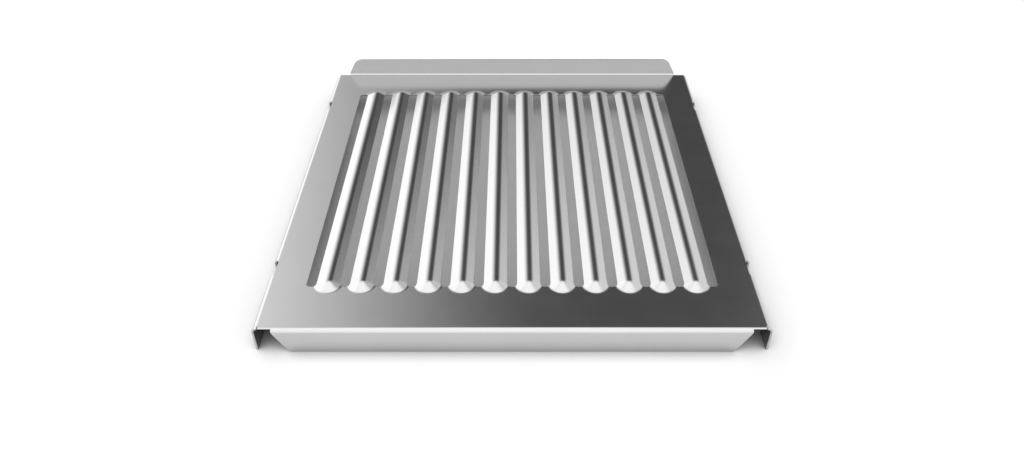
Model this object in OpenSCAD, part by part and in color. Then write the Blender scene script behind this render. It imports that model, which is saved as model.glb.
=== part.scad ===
// Pressed stainless steel heat plate: a slotted, ribbed deck with folded edges.
// One sheet, modelled region by region. Each region is a node, and the nodes
// meet face to face. +Z is up, -Y is the front, the origin is on the floor
// under the middle of the box around the part.

/* [Plate] */
// Overall width over the side flanges
body_w = 400; // [390:1:520]
// Overall length over the front and rear lips
body_l = 403.5; // [320:0.5:520]
// Height of the deck's top face above the floor
deck_h = 23.5; // [16:0.5:40]
// Sheet thickness
sheet_t = 1.5; // [0.8:0.1:2.5]
// Outer radius of the folds that turn down
bend_r = 4.5; // [3:0.1:7]
// Outer radius of the rear fold, which turns up
rear_bend_r = 3; // [2:0.1:6]

/* [Ribs and slots] */
// Distance between neighbouring ribs
rib_pitch = 27.1; // [26:0.1:29]
// Width of the slot between two ribs
slot_w = 8.1; // [6:0.1:9]
// Radius at the corners of a slot
slot_corner_r = 3; // [0.5:0.1:3]
// Distance from the front or rear fold line to the ends of the slots
slot_margin = 44.5; // [30:0.5:80]
// Slope of a rib's two sides
rib_slope = 27; // [16:1:32]
// Radius of a rib's foot at its cone end, to the sharp corner
foot_r = 11.3; // [10.5:0.1:12]
// Radius of the rounded ridge
ridge_r = 9; // [4:0.1:11]
// Radius of the hollow blend at the foot of a cone end
blend_r = 5; // [1:0.1:6]
// Distance from a slot's end back to the axis of the cone ends
cone_offset = 3.7; // [0:0.1:5]

/* [Lips] */
// Width of both lips at their fold
lip_w = 370; // [280:1:372]
// Height of the rear lip above the deck
rear_lip_h = 18.5; // [12:0.5:40]
// Slant of the lips' side edges
lip_slant = 28; // [10:1:40]
// Corner radius of the front lip
front_corner_r = 6; // [2:0.5:9]
// Corner radius of the rear lip
rear_corner_r = 10; // [2:0.5:11]

/* [Side flanges] */
// How far the front corner tabs and side flanges run past the front fold line
tab_l = 2.3; // [1:0.1:2.8]
// Distance from a fold line to the nearer notch
notch_from_fold = 58.5; // [40:0.5:90]
// Length of a notch
notch_l = 18; // [10:0.5:30]
// Depth of a notch below the deck's top face
notch_h = 12; // [6:0.5:13]
// Corner radius at the bottom of a notch
notch_corner_r = 2; // [0.5:0.5:3]

/* [Hidden] */
$fn = 48;
rib_count = 12;
steel = [0.76, 0.77, 0.79];
inner_r = bend_r - sheet_t;
rear_inner_r = rear_bend_r - sheet_t;
deck_w = body_w - 2 * bend_r;
deck_l = body_l - bend_r - rear_bend_r;
fold_y = deck_l / 2;
// The middle of the deck, seen from the middle of the box.
mid_y = (bend_r - rear_bend_r) / 2;
slot_end_y = fold_y - slot_margin;
// The cut faces between the margins and the ribs, where a slot is at full width.
seam_y = slot_end_y - max(slot_corner_r, cone_offset) - 0.5;
rib_w = rib_pitch - slot_w;
first_rib_x = -(rib_count - 1) * rib_pitch / 2;
field_w = rib_count * rib_pitch + slot_w;
cone_y = slot_end_y - cone_offset;
// Rib section: a ridge arc, a straight side, then a hollow blend onto the deck.
ridge_x = ridge_r * sin(rib_slope);
ridge_z = (foot_r - ridge_x) * tan(rib_slope) - ridge_r * cos(rib_slope);
blend_x = foot_r + blend_r * tan(rib_slope / 2);
ridge_steps = 5;
blend_steps = 3;
lip_slant_from = 2.3;
over = 1;

function rib_x(i) = first_rib_x + i * rib_pitch;
function ridge_arc() = [for (i = [0 : ridge_steps])
    let (a = rib_slope * i / ridge_steps) [ridge_r * sin(a), ridge_z + ridge_r * cos(a)]];
function blend_arc() = [for (i = [0 : blend_steps])
    let (a = rib_slope * (1 - i / blend_steps)) [blend_x - blend_r * sin(a), blend_r * (1 - cos(a))]];
function half_top() = concat(ridge_arc(), blend_arc());
function flank() = concat(ridge_arc(), [[rib_w / 2, (foot_r - rib_w / 2) * tan(rib_slope)]]);
function lowered(points) = [for (p = points) [p[0], p[1] - sheet_t]];
function flipped(points) = [for (i = [len(points) - 1 : -1 : 0]) [-points[i][0], points[i][1]]];
function backward(points) = [for (i = [len(points) - 1 : -1 : 0]) points[i]];
function tail(points) = [for (i = [1 : len(points) - 1]) points[i]];
function both_sides(points) = concat(flipped(points), tail(points));

// Sections

// A fold down to `leg` below the deck's top face, at the origin, going to +X.
module down_fold(leg) {
    translate([0, -bend_r]) intersection() {
        difference() {
            circle(r = bend_r);
            circle(r = inner_r);
        }
        square([bend_r, bend_r]);
    }
    translate([inner_r, -leg]) square([sheet_t, leg - bend_r]);
}

// A fold up to `leg` above the deck's top face, at the origin, going to +X.
module up_fold(leg) {
    translate([0, rear_inner_r]) intersection() {
        difference() {
            circle(r = rear_bend_r);
            circle(r = rear_inner_r);
        }
        translate([0, -rear_bend_r]) square([rear_bend_r, rear_bend_r]);
    }
    translate([rear_inner_r, rear_inner_r]) square([sheet_t, leg - rear_inner_r]);
}

// A lip seen from the front: straight at the fold, slanted sides, round corners.
module lip_outline(leg, corner_r) {
    root = lip_w / 2;
    tip = root - (leg - lip_slant_from) * tan(lip_slant);
    run = corner_r * tan((90 - lip_slant) / 2);
    right = [
        [root, -over - bend_r],
        [root, lip_slant_from],
        [tip + run * sin(lip_slant), leg - run * cos(lip_slant)],
        [tip - run, leg]
    ];
    polygon(concat(right, [for (i = [3 : -1 : 0]) [-right[i][0], right[i][1]]]));
    for (side = [-1, 1])
        translate([side * (tip - run), leg - corner_r]) circle(r = corner_r);
}

module slot_outline() {
    difference() {
        square([slot_w, 2 * slot_end_y], center = true);
        for (x = [-1, 1], y = [-1, 1])
            translate([x * slot_w / 2, y * slot_end_y]) difference() {
                square(2 * slot_corner_r, center = true);
                translate([-x * slot_corner_r, -y * slot_corner_r]) circle(r = slot_corner_r);
            }
    }
}

module notch_outline() {
    difference() {
        translate([-notch_l / 2, -notch_h]) square([notch_l, notch_h + over]);
        for (x = [-1, 1])
            translate([x * notch_l / 2, -notch_h]) difference() {
                square(2 * notch_corner_r, center = true);
                translate([-x * notch_corner_r, notch_corner_r]) circle(r = notch_corner_r);
            }
    }
}

// Solids, with the middle of the deck's top face at the origin

module slots() {
    for (i = [0 : rib_count])
        translate([first_rib_x + (i - 0.5) * rib_pitch, 0, -2 * over])
            linear_extrude(4 * over + deck_h / 2) slot_outline();
}

// The half cone that closes a rib's rear end, up to the seam in front of it.
module cone_end_outer() {
    top = half_top();
    rotate_extrude(angle = 180)
        polygon(concat([[0, -sheet_t / 2]], top, [[blend_x, -sheet_t / 2]]));
    rotate([90, 0, 0]) linear_extrude(cone_y - seam_y)
        polygon(concat(both_sides(top), [[blend_x, -sheet_t / 2], [-blend_x, -sheet_t / 2]]));
}

module cone_end_inner() {
    low = lowered(half_top());
    rotate_extrude(angle = 180)
        polygon(concat([[0, -sheet_t - over]], low, [[blend_x, -sheet_t - over]]));
    rotate([90, 0, 0]) linear_extrude(cone_y - seam_y + over)
        polygon(concat(both_sides(low), [[blend_x, -sheet_t - over], [-blend_x, -sheet_t - over]]));
}

module rear_margin() {
    difference() {
        union() {
            translate([-deck_w / 2, seam_y, -sheet_t])
                cube([deck_w, fold_y - seam_y, sheet_t]);
            for (i = [0 : rib_count - 1]) translate([rib_x(i), cone_y, 0]) cone_end_outer();
        }
        for (i = [0 : rib_count - 1]) translate([rib_x(i), cone_y, 0]) cone_end_inner();
        slots();
    }
}

module side_margin() {
    translate([field_w / 2, -seam_y, -sheet_t])
        cube([(deck_w - field_w) / 2, 2 * seam_y, sheet_t]);
}

module rib_bar() {
    rotate([90, 0, 0]) linear_extrude(2 * seam_y, center = true)
        polygon(concat(both_sides(flank()), backward(lowered(both_sides(flank())))));
}

module right_flange() {
    difference() {
        translate([deck_w / 2, fold_y, 0]) rotate([90, 0, 0])
            linear_extrude(deck_l + tab_l) down_fold(deck_h);
        for (side = [-1, 1])
            translate([deck_w / 2 - over / 100, side * (fold_y - notch_from_fold - notch_l / 2), 0])
                rotate([90, 0, 90]) linear_extrude(bend_r + over) notch_outline();
    }
}

// Nodes

module deck_rear() {
    color(steel) translate([0, mid_y, deck_h]) rear_margin();
}

module deck_front() {
    color(steel) translate([0, mid_y, deck_h]) mirror([0, 1, 0]) rear_margin();
}

module deck_right() {
    color(steel) translate([0, mid_y, deck_h]) side_margin();
}

module deck_left() {
    color(steel) translate([0, mid_y, deck_h]) mirror([1, 0, 0]) side_margin();
}

module rib(i) {
    color(steel) translate([rib_x(i), mid_y, deck_h]) rib_bar();
}

module front_lip() {
    color(steel) translate([0, mid_y - fold_y, deck_h]) intersection() {
        rotate([90, 0, -90]) linear_extrude(deck_w, center = true) down_fold(deck_h);
        union() {
            rotate([90, 0, 0]) linear_extrude(bend_r + over)
                mirror([0, 1, 0]) lip_outline(deck_h, front_corner_r);
            translate([-deck_w / 2, -tab_l, -bend_r]) cube([deck_w, tab_l, bend_r + over]);
        }
    }
}

module rear_lip() {
    color(steel) translate([0, mid_y + fold_y, deck_h]) intersection() {
        rotate([90, 0, 90]) linear_extrude(lip_w + over, center = true) up_fold(rear_lip_h);
        rotate([90, 0, 180]) linear_extrude(rear_bend_r + over)
            lip_outline(rear_lip_h, rear_corner_r);
    }
}

module side_flange_right() {
    color(steel) translate([0, mid_y, deck_h]) right_flange();
}

module side_flange_left() {
    color(steel) translate([0, mid_y, deck_h]) mirror([1, 0, 0]) right_flange();
}

deck_front();
deck_rear();
deck_left();
deck_right();
front_lip();
rear_lip();
side_flange_left();
side_flange_right();
rib(0);  // rib_01
rib(1);  // rib_02
rib(2);  // rib_03
rib(3);  // rib_04
rib(4);  // rib_05
rib(5);  // rib_06
rib(6);  // rib_07
rib(7);  // rib_08
rib(8);  // rib_09
rib(9);  // rib_10
rib(10);  // rib_11
rib(11);  // rib_12
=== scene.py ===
"""A pressed stainless steel heat plate: one sheet, cut flat, ribbed and folded.

The sheet is made the way the real one is. Its flat blank is outlined, cut into
triangles along the ribs and folds, and then pressed and folded into shape.
"""
import math

import bpy
import numpy as np
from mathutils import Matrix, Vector
from mathutils.geometry import delaunay_2d_cdt


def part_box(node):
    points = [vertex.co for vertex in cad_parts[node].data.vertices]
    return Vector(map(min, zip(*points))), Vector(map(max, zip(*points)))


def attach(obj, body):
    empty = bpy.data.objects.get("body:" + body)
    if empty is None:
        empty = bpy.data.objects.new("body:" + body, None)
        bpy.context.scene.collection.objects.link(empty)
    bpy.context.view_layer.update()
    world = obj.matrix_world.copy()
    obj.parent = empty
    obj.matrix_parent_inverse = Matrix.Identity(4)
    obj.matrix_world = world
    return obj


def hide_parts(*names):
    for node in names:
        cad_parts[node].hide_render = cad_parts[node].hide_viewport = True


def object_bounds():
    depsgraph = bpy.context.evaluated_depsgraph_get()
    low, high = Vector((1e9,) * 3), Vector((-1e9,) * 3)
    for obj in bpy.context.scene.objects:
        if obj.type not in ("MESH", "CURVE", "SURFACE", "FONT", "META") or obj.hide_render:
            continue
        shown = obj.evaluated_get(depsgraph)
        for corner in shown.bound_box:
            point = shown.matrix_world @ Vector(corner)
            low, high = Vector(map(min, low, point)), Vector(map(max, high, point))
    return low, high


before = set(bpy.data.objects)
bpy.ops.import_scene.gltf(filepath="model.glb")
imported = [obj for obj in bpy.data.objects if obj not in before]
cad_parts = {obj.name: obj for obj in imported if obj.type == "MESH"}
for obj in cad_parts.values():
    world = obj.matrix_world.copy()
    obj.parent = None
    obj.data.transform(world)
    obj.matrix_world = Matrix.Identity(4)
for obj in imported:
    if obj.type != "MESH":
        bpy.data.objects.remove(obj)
cad_lo, cad_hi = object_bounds()

MM = 0.001


def node_box(name):
    """A node's lowest and highest corners, in millimetres."""
    lo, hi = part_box(name)
    return [v / MM for v in lo], [v / MM for v in hi]


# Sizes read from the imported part, in millimetres. A fold's radius is that of
# the sheet's top face, outer where the fold turns down and inner where it turns up.
FRONT_LO, FRONT_HI = node_box("deck_front")
REAR_HI = node_box("deck_rear")[1]
LEFT_LO, LEFT_HI = node_box("deck_left")
REAR_LIP_HI = node_box("rear_lip")[1]
FLANGE_LO, FLANGE_HI = node_box("side_flange_right")
RIB_BOXES = [node_box(n) for n in sorted(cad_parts) if n.startswith("rib_")]
RIB_XS = [(lo[0] + hi[0]) / 2 for lo, hi in RIB_BOXES]
RIB_W = RIB_BOXES[0][1][0] - RIB_BOXES[0][0][0]
PITCH = (RIB_XS[-1] - RIB_XS[0]) / (len(RIB_XS) - 1)
SLOT_W = PITCH - RIB_W
DECK_Z = LEFT_HI[2]
SHEET_T = LEFT_HI[2] - LEFT_LO[2]
FOLD_X = FRONT_HI[0]
MID_Y = (REAR_HI[1] + FRONT_LO[1]) / 2
FOLD_Y = (REAR_HI[1] - FRONT_LO[1]) / 2
FOLD_R = FLANGE_HI[0] - FOLD_X
REAR_FOLD_R = REAR_LIP_HI[1] - REAR_HI[1] - SHEET_T
TAB_L = FRONT_LO[1] - FLANGE_LO[1]
LIP_ROOT = REAR_LIP_HI[0]
REAR_LEG = REAR_LIP_HI[2] - DECK_Z

# Sizes of the design that no box gives, in millimetres and radians.
SLOT_MARGIN = 44.5
SLOT_CORNER = 3.0
CONE_OFFSET = 3.7
RIB_SLOPE = math.radians(27)
FOOT_R = 11.3
RIDGE_R = 9.0
BLEND_R = 5.0
LIP_SLANT = math.radians(28)
LIP_SLANT_FROM = 2.3
FRONT_CORNER = 6.0
REAR_CORNER = 10.0
NOTCH_FROM_FOLD = 58.5
NOTCH_L = 18.0
NOTCH_H = 12.0
NOTCH_CORNER = 2.0
RELIEF_W = 0.8
RELIEF_L = 0.4
FLANGE_CORNER = 0.8
EDGE_R = 0.22
CLEAR_OF_FOLD = 0.05

SLOT_END = FOLD_Y - SLOT_MARGIN
CONE_Y = SLOT_END - CONE_OFFSET
RIDGE_X = RIDGE_R * math.sin(RIB_SLOPE)
RIDGE_Z = (FOOT_R - RIDGE_X) * math.tan(RIB_SLOPE) - RIDGE_R * math.cos(RIB_SLOPE)
BLEND_X = FOOT_R + BLEND_R * math.tan(RIB_SLOPE / 2)
FOLD_ARC = FOLD_R * math.pi / 2
REAR_ARC = REAR_FOLD_R * math.pi / 2

# Points of the blank closer than this are one point, in millimetres.
WELD = 1e-5

# Material slots of the sheet's top face, underside and cut edges. The underside's darker
# steel is painted shade.
FINISHED, SHADED_UNDERSIDE, CUT = 0, 1, 2

# The steel's grain, streaks and clouds, as features in a metre of the blank,
# along and across the grain, and the grain's full height, in metres.
GRAIN = (160, 5200)
STREAKS = (14, 700)
CLOUDS = 26.0
GRAIN_HEIGHT = 0.00004

# How many straight steps stand for each curve.
FOLD_STEPS = 10
SLANT_STEPS = 4
CORNER_STEPS = 8
FLANGE_CORNER_STEPS = 4
RIDGE_STEPS = 5
BLEND_STEPS = 4
CONE_STEPS = 28

# The camera stands this far in front of the front fold line and above the deck,
# in millimetres, and looks this far below the level, in degrees.
CAMERA_BACK = 430.2
CAMERA_UP = 450.0
CAMERA_TILT = 39.284

# The camera's lens and sensor width, in millimetres, and its range, in metres.
LENS = 28.35
SENSOR_W = 36.0
NEAREST = 0.01
FARTHEST = 100.0

# The floor's half width, in metres. It reaches almost to the horizon.
FLOOR_REACH = 40.0

# The lights' strengths. FILL is the light that comes from everywhere.
LEFT_LIGHT = 1.7
RIGHT_LIGHT = 1.04
FRONT_LIGHT = 1.4
OVERHEAD_LIGHT = 1.55
HORIZON_LIGHT = 1.0
FILL = 0.09


# The pressed and folded shape


def rib_rise(r):
    """Height and slope of a rib's section at distance r from its ridge."""
    if r >= BLEND_X:
        return 0.0, 0.0
    if r > BLEND_X - BLEND_R * math.sin(RIB_SLOPE):
        run = BLEND_X - r
        drop = math.sqrt(BLEND_R ** 2 - run ** 2)
        return BLEND_R - drop, -run / drop
    if r > RIDGE_X:
        return (FOOT_R - r) * math.tan(RIB_SLOPE), -math.tan(RIB_SLOPE)
    drop = math.sqrt(RIDGE_R ** 2 - r ** 2)
    return RIDGE_Z + drop, -r / drop


def deck_point(u, v):
    """Place and upward normal of the deck's top face."""
    nearest = min(RIB_XS, key=lambda x: abs(u - x))
    dx = u - nearest
    dy = max(0.0, abs(v) - CONE_Y) * (1 if v > 0 else -1)
    r = math.hypot(dx, dy)
    rise, slope = rib_rise(r)
    if r < 1e-9:
        return Vector((u, v, rise)), Vector((0, 0, 1))
    return Vector((u, v, rise)), Vector((-slope * dx / r, -slope * dy / r, 1)).normalized()


def fold(s, radius, leg_sign):
    """How far out and up a fold has carried the sheet, s along it from the fold
    line, and its normal's tilt. leg_sign is 1 for a fold that turns up and -1
    for one that turns down."""
    a = min(s / radius, math.pi / 2)
    rest = max(0.0, s - radius * math.pi / 2)
    out = radius * math.sin(a)
    drop = radius * (1 - math.cos(a)) + rest
    return out, leg_sign * drop, a


def sheet_point(u, v):
    """Place and normal of the sheet's top face at a point of its flat blank."""
    if abs(u) > FOLD_X:
        side = 1 if u > 0 else -1
        out, z, a = fold(abs(u) - FOLD_X, FOLD_R, -1)
        return (Vector((side * (FOLD_X + out), v, z)),
                Vector((side * math.sin(a), 0, math.cos(a))))
    if v < -FOLD_Y:
        out, z, a = fold(-FOLD_Y - v, FOLD_R, -1)
        return Vector((u, -FOLD_Y - out, z)), Vector((0, -math.sin(a), math.cos(a)))
    if v > FOLD_Y:
        out, z, a = fold(v - FOLD_Y, REAR_FOLD_R, 1)
        return Vector((u, FOLD_Y + out, z)), Vector((0, -math.sin(a), math.cos(a)))
    return deck_point(u, v)


# The flat blank


def arc(cx, cy, r, a0, a1, steps):
    """Points of an arc, its ends included, with angles in degrees."""
    angles = [math.radians(a0 + (a1 - a0) * k / steps) for k in range(steps + 1)]
    return [(cx + r * math.cos(a), cy + r * math.sin(a)) for a in angles]


def lip_half(drop):
    """Half the width of a lip at a distance from the deck's top face."""
    return LIP_ROOT - max(0.0, drop - LIP_SLANT_FROM) * math.tan(LIP_SLANT)


def lip_side(leg, radius, corner):
    """A lip's right edge from its root to its corner, as half widths and the
    distances along the sheet from the fold line."""
    arc_l = radius * math.pi / 2
    if LIP_SLANT_FROM < radius:
        start = math.acos(1 - LIP_SLANT_FROM / radius)
        turn = (math.pi / 2 - start) / SLANT_STEPS
        turns = [start + turn * k for k in range(SLANT_STEPS + 1)]
        points = [(lip_half(radius * (1 - math.cos(a))), radius * a) for a in turns]
    else:
        points = [(LIP_ROOT, arc_l), (LIP_ROOT, arc_l + LIP_SLANT_FROM - radius)]
    length = arc_l + leg - radius
    tip = lip_half(leg)
    run = corner * math.tan((math.pi / 2 - LIP_SLANT) / 2)
    points += arc(tip - run, length - corner, corner,
                  math.degrees(LIP_SLANT), 90, CORNER_STEPS)
    return points


def outer_outline():
    """The blank's outer edge, counterclockwise."""
    flange = FOLD_X + FOLD_ARC + DECK_Z - FOLD_R
    tab = FOLD_R * math.asin(TAB_L / FOLD_R)
    front = [(x, -FOLD_Y - s) for x, s in lip_side(DECK_Z, FOLD_R, FRONT_CORNER)]
    right = front[::-1]
    right += [(LIP_ROOT, -FOLD_Y - tab),
              (FOLD_X - RELIEF_W / 2, -FOLD_Y - tab),
              (FOLD_X - RELIEF_W / 2, -FOLD_Y + RELIEF_L),
              (FOLD_X + RELIEF_W / 2, -FOLD_Y + RELIEF_L),
              (FOLD_X + RELIEF_W / 2, -FOLD_Y - TAB_L)]
    right += arc(flange - FLANGE_CORNER, -FOLD_Y - TAB_L + FLANGE_CORNER,
                 FLANGE_CORNER, -90, 0, FLANGE_CORNER_STEPS)
    right += arc(flange - FLANGE_CORNER, FOLD_Y - FLANGE_CORNER,
                 FLANGE_CORNER, 0, 90, FLANGE_CORNER_STEPS)
    right += [(LIP_ROOT, FOLD_Y)]
    right += [(x, FOLD_Y + s) for x, s in lip_side(REAR_LEG, REAR_FOLD_R, REAR_CORNER)]
    return right + [(-x, y) for x, y in right[::-1]]


def rounded_box(x0, y0, x1, y1, r):
    """A hole's edge, clockwise."""
    points = arc(x0 + r, y0 + r, r, 270, 180, CORNER_STEPS)
    points += arc(x0 + r, y1 - r, r, 180, 90, CORNER_STEPS)
    points += arc(x1 - r, y1 - r, r, 90, 0, CORNER_STEPS)
    points += arc(x1 - r, y0 + r, r, 0, -90, CORNER_STEPS)
    return points


def holes():
    """The slots, and the notches through the side folds."""
    made = []
    for i in range(len(RIB_XS) + 1):
        x = RIB_XS[0] + (i - 0.5) * PITCH
        made.append(rounded_box(x - SLOT_W / 2, -SLOT_END, x + SLOT_W / 2, SLOT_END,
                                SLOT_CORNER))
    near = FOLD_X + EDGE_R + CLEAR_OF_FOLD
    far = FOLD_X + FOLD_ARC + NOTCH_H - FOLD_R
    for y in (FOLD_Y - NOTCH_FROM_FOLD - NOTCH_L, NOTCH_FROM_FOLD - FOLD_Y):
        right = rounded_box(near, y, far, y + NOTCH_L, NOTCH_CORNER)
        made += [right, [(-px, py) for px, py in right[::-1]]]
    return made


def outward(loop):
    """At each point of a loop, the way out of the sheet, longer at a corner."""
    p = np.array(loop)
    ahead = np.roll(p, -1, axis=0) - p
    ahead /= np.linalg.norm(ahead, axis=1)[:, None]
    n_next = np.stack([ahead[:, 1], -ahead[:, 0]], axis=1)
    n_prev = np.roll(n_next, 1, axis=0)
    dot = (n_next * n_prev).sum(axis=1)
    return (n_next + n_prev) / (1 + dot)[:, None]


def inset(loop, by):
    """A loop moved into the sheet."""
    return [tuple(q) for q in np.array(loop) - outward(loop) * by]


def crease_lines():
    """Lines the triangles follow: folds, rib ridges, sides, blends and cones.

    Those of the side and rear folds run a little past the sheet's edge. One more
    follows each long edge of a rib, just inside it."""
    past = 1.0
    inside_edge = 0.5
    lines = []
    for k in range(FOLD_STEPS + 1):
        s = FOLD_ARC * k / FOLD_STEPS
        for side in (-1, 1):
            x = side * (FOLD_X + s)
            lines.append([(x, -FOLD_Y - TAB_L - past), (x, FOLD_Y + past)])
        front_x = FOLD_X - RELIEF_W / 2
        lines.append([(-front_x, -FOLD_Y - s), (front_x, -FOLD_Y - s)])
        s = REAR_ARC * k / FOLD_STEPS
        lines.append([(-LIP_ROOT - past, FOLD_Y + s), (LIP_ROOT + past, FOLD_Y + s)])
    radii = [RIDGE_R * math.sin(RIB_SLOPE * k / RIDGE_STEPS)
             for k in range(1, RIDGE_STEPS + 1)]
    radii += [RIB_W / 2 - EDGE_R - inside_edge]
    radii += [BLEND_X - BLEND_R * math.sin(RIB_SLOPE * k / BLEND_STEPS)
              for k in range(BLEND_STEPS, -1, -1)]
    for x in RIB_XS:
        lines.append([(x, -CONE_Y), (x, CONE_Y)])
        for r in radii:
            rear = arc(x, CONE_Y, r, 0, 180, CONE_STEPS)
            lines += [rear, [(px, -py) for px, py in rear]]
            if r < RIB_W / 2 - EDGE_R:
                for side in (-1, 1):
                    lines.append([(x + side * r, -CONE_Y), (x + side * r, CONE_Y)])
    return lines


def triangulate(loops, lines):
    """Triangles of the blank inside its outer loop and outside its holes."""
    points, edges = [], []
    for chain, closed in [(c, True) for c in loops] + [(c, False) for c in lines]:
        first = len(points)
        points += [Vector(p) for p in chain]
        last = len(points) - 1
        edges += [(i, i + 1) for i in range(first, last)]
        if closed:
            edges.append((last, first))
    verts, _, faces, _, _, _ = delaunay_2d_cdt(points, edges, [], 0, WELD)
    xy = np.array([(p.x, p.y) for p in verts])
    tris = np.array(faces)
    centres = xy[tris].mean(axis=1)
    inside = np.zeros(len(tris), bool)
    for loop in loops:
        a = np.array(loop)
        b = np.roll(a, -1, axis=0)
        for (x0, y0), (x1, y1) in zip(a, b):
            if y0 == y1:
                continue
            spans = (y0 > centres[:, 1]) != (y1 > centres[:, 1])
            cross = x0 + (centres[:, 1] - y0) / (y1 - y0) * (x1 - x0)
            inside ^= spans & (centres[:, 0] < cross)
    tris = tris[inside]
    a, b, c = xy[tris[:, 0]], xy[tris[:, 1]], xy[tris[:, 2]]
    ab, ac = b - a, c - a
    area = ab[:, 0] * ac[:, 1] - ab[:, 1] * ac[:, 0]
    tris[area < 0] = tris[area < 0][:, ::-1]
    used = np.unique(tris)
    renumber = {int(old): new for new, old in enumerate(used)}
    return xy[used], [[renumber[int(i)] for i in t] for t in tris]


def edge_loops(tris):
    """Chains of the triangulation's free edges, with the sheet on their left."""
    free = {}
    for t in tris:
        for i in range(3):
            free[(t[i], t[(i + 1) % 3])] = True
    onward = {a: b for a, b in free if (b, a) not in free}
    chains = []
    while onward:
        start, here = next(iter(onward.items()))
        del onward[start]
        chain = [start]
        while here != start:
            chain.append(here)
            here = onward.pop(here)
        chains.append(chain)
    return chains


def build_sheet():
    """The whole sheet as one closed mesh with rounded cut edges.

    Its normals follow the curves that the triangles only come near to."""
    nudge = 0.01
    loops = [inset(loop, EDGE_R) for loop in [outer_outline()] + holes()]
    xy, tris = triangulate(loops, crease_lines())
    verts, normals, flat, faces, sides = [], [], [], [], []

    def add(u, v, depth, out_u=0.0, out_v=0.0, away=0.0, up=1.0, out=0.0):
        """A vertex under the flat point, moved out and down into the sheet."""
        p, n = sheet_point(u + out_u * out, v + out_v * out)
        normal = n * up
        if away:
            q, _ = sheet_point(u + out_u * (out - nudge), v + out_v * (out - nudge))
            aside = p - q
            aside = (aside - n * aside.dot(n)).normalized()
            normal = aside * away + n * up
        verts.append((p - n * depth + Vector((0, MID_Y, DECK_Z))) * MM)
        normals.append(normal.normalized())
        flat.append((u * MM, v * MM))
        return len(verts) - 1

    top = [add(u, v, 0.0) for u, v in xy]
    bottom = [add(u, v, SHEET_T, up=-1.0) for u, v in xy]
    faces += [[top[i] for i in t] for t in tris]
    faces += [[bottom[i] for i in reversed(t)] for t in tris]
    # The underside's faces take the darker steel, which is painted shade.
    sides += [FINISHED] * len(tris) + [SHADED_UNDERSIDE] * len(tris)
    half = math.sqrt(0.5)
    rings = [(half * EDGE_R, (1 - half) * EDGE_R, half, half),
             (EDGE_R, EDGE_R, 1.0, 0.0),
             (EDGE_R, SHEET_T - EDGE_R, 1.0, 0.0),
             (half * EDGE_R, SHEET_T - (1 - half) * EDGE_R, half, -half)]
    for chain in edge_loops(tris):
        mitre = outward([tuple(xy[i]) for i in chain])
        rows = [[top[i] for i in chain]]
        for out, depth, away, up in rings:
            rows.append([add(*xy[i], depth, *m, away, up, out) for i, m in zip(chain, mitre)])
        rows.append([bottom[i] for i in chain])
        for above, below in zip(rows, rows[1:]):
            for k in range(len(chain)):
                j = (k + 1) % len(chain)
                faces.append([above[j], above[k], below[k], below[j]])
                sides.append(CUT)
    mesh = bpy.data.meshes.new("heat_plate")
    mesh.from_pydata(verts, [], faces)
    mesh.update()
    mesh.polygons.foreach_set("use_smooth", [True] * len(mesh.polygons))
    mesh.polygons.foreach_set("material_index", sides)
    layer = mesh.uv_layers.new(name="blank")
    for loop in mesh.loops:
        layer.data[loop.index].uv = flat[loop.vertex_index]
    mesh.normals_split_custom_set_from_vertices(normals)
    piece = bpy.data.objects.new("heat_plate", mesh)
    bpy.context.collection.objects.link(piece)
    return piece


# Materials


class Nodes:
    """A short way to wire a material's nodes."""

    def __init__(self, tree):
        self.tree = tree

    def add(self, kind, inputs=None, **settings):
        node = self.tree.nodes.new(kind)
        for name, value in settings.items():
            setattr(node, name, value)
        for name, value in (inputs or {}).items():
            if isinstance(value, bpy.types.NodeSocket):
                self.tree.links.new(value, node.inputs[name])
            else:
                node.inputs[name].default_value = value
        return node

    def math(self, operation, a, b):
        node = self.add("ShaderNodeMath", {0: a, 1: b}, operation=operation)
        return node.outputs[0]

    def remap(self, value, lo, hi, to_lo, to_hi, smooth=False):
        node = self.add("ShaderNodeMapRange", {
            "Value": value, "From Min": lo, "From Max": hi, "To Min": to_lo, "To Max": to_hi,
        }, interpolation_type="SMOOTHSTEP" if smooth else "LINEAR")
        return node.outputs["Result"]

    def noise(self, vector, scale, detail=2.0, roughness=0.5):
        node = self.add("ShaderNodeTexNoise", {
            "Vector": vector, "Scale": scale, "Detail": detail, "Roughness": roughness})
        return node.outputs["Fac"]

    def stretched(self, vector, x, y, z=1.0):
        node = self.add("ShaderNodeMapping", {"Vector": vector, "Scale": (x, y, z)})
        return node.outputs["Vector"]


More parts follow.
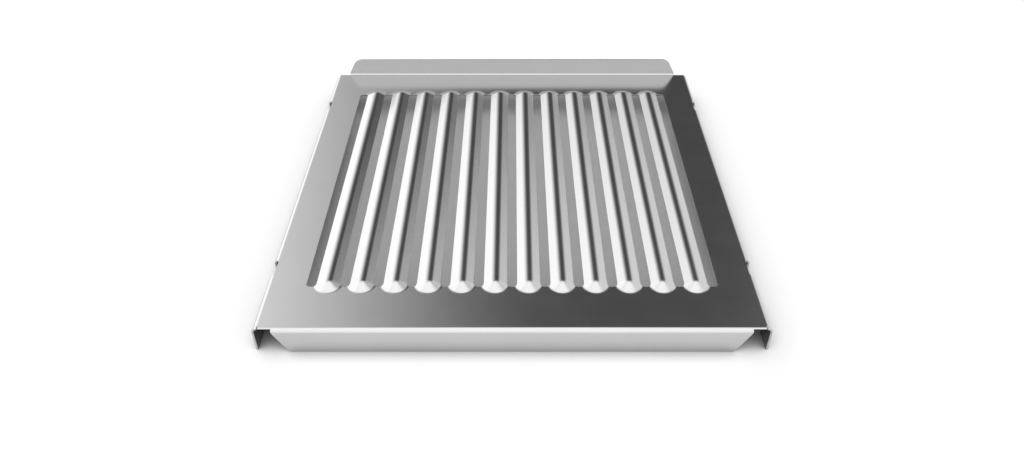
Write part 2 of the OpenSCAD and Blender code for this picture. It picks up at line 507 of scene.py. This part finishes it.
def steel(name, grey, roughness, grain_depth):
    """Stainless sheet with a fine grain in one direction, as rolled and rubbed
    before it was folded, and a faint unevenness in tone and gloss."""
    material = bpy.data.materials.new(name)
    material.use_nodes = True
    tree = material.node_tree
    n = Nodes(tree)
    shader = tree.nodes["Principled BSDF"]
    blank = n.add("ShaderNodeUVMap", uv_map="blank").outputs["UV"]
    grain = n.noise(n.stretched(blank, *GRAIN), 1.0, 3.0, 0.6)
    streak = n.noise(n.stretched(blank, *STREAKS), 1.0, 2.0, 0.5)
    cloud = n.noise(blank, CLOUDS, 3.0, 0.55)
    grain_rough = n.remap(grain, 0.3, 0.7, roughness - 0.015, roughness + 0.015)
    cloud_rough = n.remap(cloud, 0.3, 0.7, -0.012, 0.012)
    streak_rough = n.remap(streak, 0.35, 0.65, -0.008, 0.008)
    rough = n.math("ADD", n.math("ADD", grain_rough, cloud_rough), streak_rough)
    cloud_tone = n.remap(cloud, 0.25, 0.75, 0.985, 1.015)
    streak_tone = n.remap(streak, 0.3, 0.7, 0.99, 1.01)
    tone = n.math("MULTIPLY", cloud_tone, streak_tone)
    colour = n.add("ShaderNodeVectorMath", {
        0: (grey, grey, grey), 1: tone}, operation="MULTIPLY")
    height = n.math("ADD", n.math("MULTIPLY", grain, 0.6), n.math("MULTIPLY", streak, 0.4))
    bump = n.add("ShaderNodeBump", {
        "Height": height, "Strength": grain_depth, "Distance": GRAIN_HEIGHT})
    tree.links.new(colour.outputs[0], shader.inputs["Base Color"])
    tree.links.new(rough, shader.inputs["Roughness"])
    tree.links.new(bump.outputs["Normal"], shader.inputs["Normal"])
    shader.inputs["Metallic"].default_value = 1.0
    return material


def floor_paper():
    """Matt white studio paper whose colour is darker close to what stands on it: a painted
    contact shadow.
    """
    white = 0.8
    contact_reach = 0.026
    material = bpy.data.materials.new("floor_paper")
    material.use_nodes = True
    tree = material.node_tree
    n = Nodes(tree)
    shader = tree.nodes["Principled BSDF"]
    # Ambient occlusion darkens the paper's colour: painted contact shadow by the plate's
    # edges and painted shade under it.
    nearby = n.add("ShaderNodeAmbientOcclusion", {"Distance": contact_reach}, samples=16)
    shade = n.remap(nearby.outputs["AO"], 0.3, 0.78, 0.3, 1.0)
    colour = n.add("ShaderNodeVectorMath", {
        0: (white, white, white), 1: shade}, operation="MULTIPLY")
    place = n.add("ShaderNodeTexCoord").outputs["Object"]
    rough = n.remap(n.noise(place, 900.0, 2.0), 0.3, 0.7, 0.9, 1.0)
    tree.links.new(colour.outputs[0], shader.inputs["Base Color"])
    tree.links.new(rough, shader.inputs["Roughness"])
    shader.inputs["Specular IOR Level"].default_value = 0.0
    return material


# Studio


def studio_light():
    """Light as a formula of direction, x, y and z being those of its unit vector:
    a large soft light overhead that leans to the front, one at the left that is
    dimmer straight to the side, a weaker one at the right, one in front that is
    dimmer low down, a dark gap behind the plate, and a pale horizon."""
    world = bpy.data.worlds.new("studio")
    bpy.context.scene.world = world
    world.use_nodes = True
    tree = world.node_tree
    tree.nodes.clear()
    n = Nodes(tree)
    way = n.add("ShaderNodeTexCoord").outputs["Generated"]
    x, y, z = n.add("ShaderNodeSeparateXYZ", {0: way}).outputs
    left = n.remap(x, 0.04, -0.55, 0.0, LEFT_LIGHT, smooth=True)
    left = n.math("MULTIPLY", left, n.remap(x, -0.76, -0.94, 1.0, 0.4, smooth=True))
    right = n.remap(x, 0.29, 0.62, 0.0, RIGHT_LIGHT, smooth=True)
    front = n.remap(y, 0.42, -0.1, 0.0, FRONT_LIGHT, smooth=True)
    front = n.math("MULTIPLY", front, n.remap(z, -0.05, 0.4, 0.7, 1.0, smooth=True))
    leaning = n.math("SUBTRACT", z, n.math("MULTIPLY", y, 0.35))
    above = n.remap(leaning, 0.6, 1.0, 0.0, OVERHEAD_LIGHT, smooth=True)
    horizon = n.remap(z, 0.1, 0.03, 0.0, HORIZON_LIGHT, smooth=True)
    sides = n.math("MAXIMUM", left, right)
    glow = n.math("MAXIMUM", sides, n.math("MAXIMUM", front, above))
    glow = n.math("MAXIMUM", glow, horizon)
    glow = n.math("ADD", glow, FILL)
    back = n.add("ShaderNodeBackground", {"Color": (1, 1, 1, 1), "Strength": glow})
    n.add("ShaderNodeOutputWorld", {"Surface": back.outputs[0]})


def studio_floor():
    """A level sheet of paper at the plate's lowest point."""
    r = FLOOR_REACH
    mesh = bpy.data.meshes.new("floor")
    mesh.from_pydata([(-r, -r, 0), (r, -r, 0), (r, r, 0), (-r, r, 0)], [], [(0, 1, 2, 3)])
    floor = bpy.data.objects.new("floor", mesh)
    floor.location.z = cad_lo.z
    bpy.context.collection.objects.link(floor)
    floor.data.materials.append(floor_paper())


def studio_camera():
    """Stands in front of the plate's middle and looks down at it."""
    data = bpy.data.cameras.new("camera")
    data.sensor_width = SENSOR_W
    data.lens = LENS
    camera = bpy.data.objects.new("camera", data)
    camera.location = (0.0, (MID_Y - FOLD_Y - CAMERA_BACK) * MM, (DECK_Z + CAMERA_UP) * MM)
    camera.rotation_euler = (math.radians(90 - CAMERA_TILT), 0, 0)
    data.clip_start, data.clip_end = NEAREST, FARTHEST
    bpy.context.collection.objects.link(camera)
    bpy.context.scene.camera = camera


plate = build_sheet()
plate.data.materials.append(steel("satin_stainless", 0.55, 0.2, 0.05))
# The underside's grey is darker than the top's: painted shade for the shade under the plate
# and inside the flanges.
plate.data.materials.append(steel("underside_painted_shade", 0.3, 0.34, 0.08))
plate.data.materials.append(steel("cut_edge", 0.45, 0.25, 0.08))
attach(plate, "root")
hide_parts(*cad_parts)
studio_light()
studio_floor()
studio_camera()
bpy.context.scene.view_settings.view_transform = "Standard"
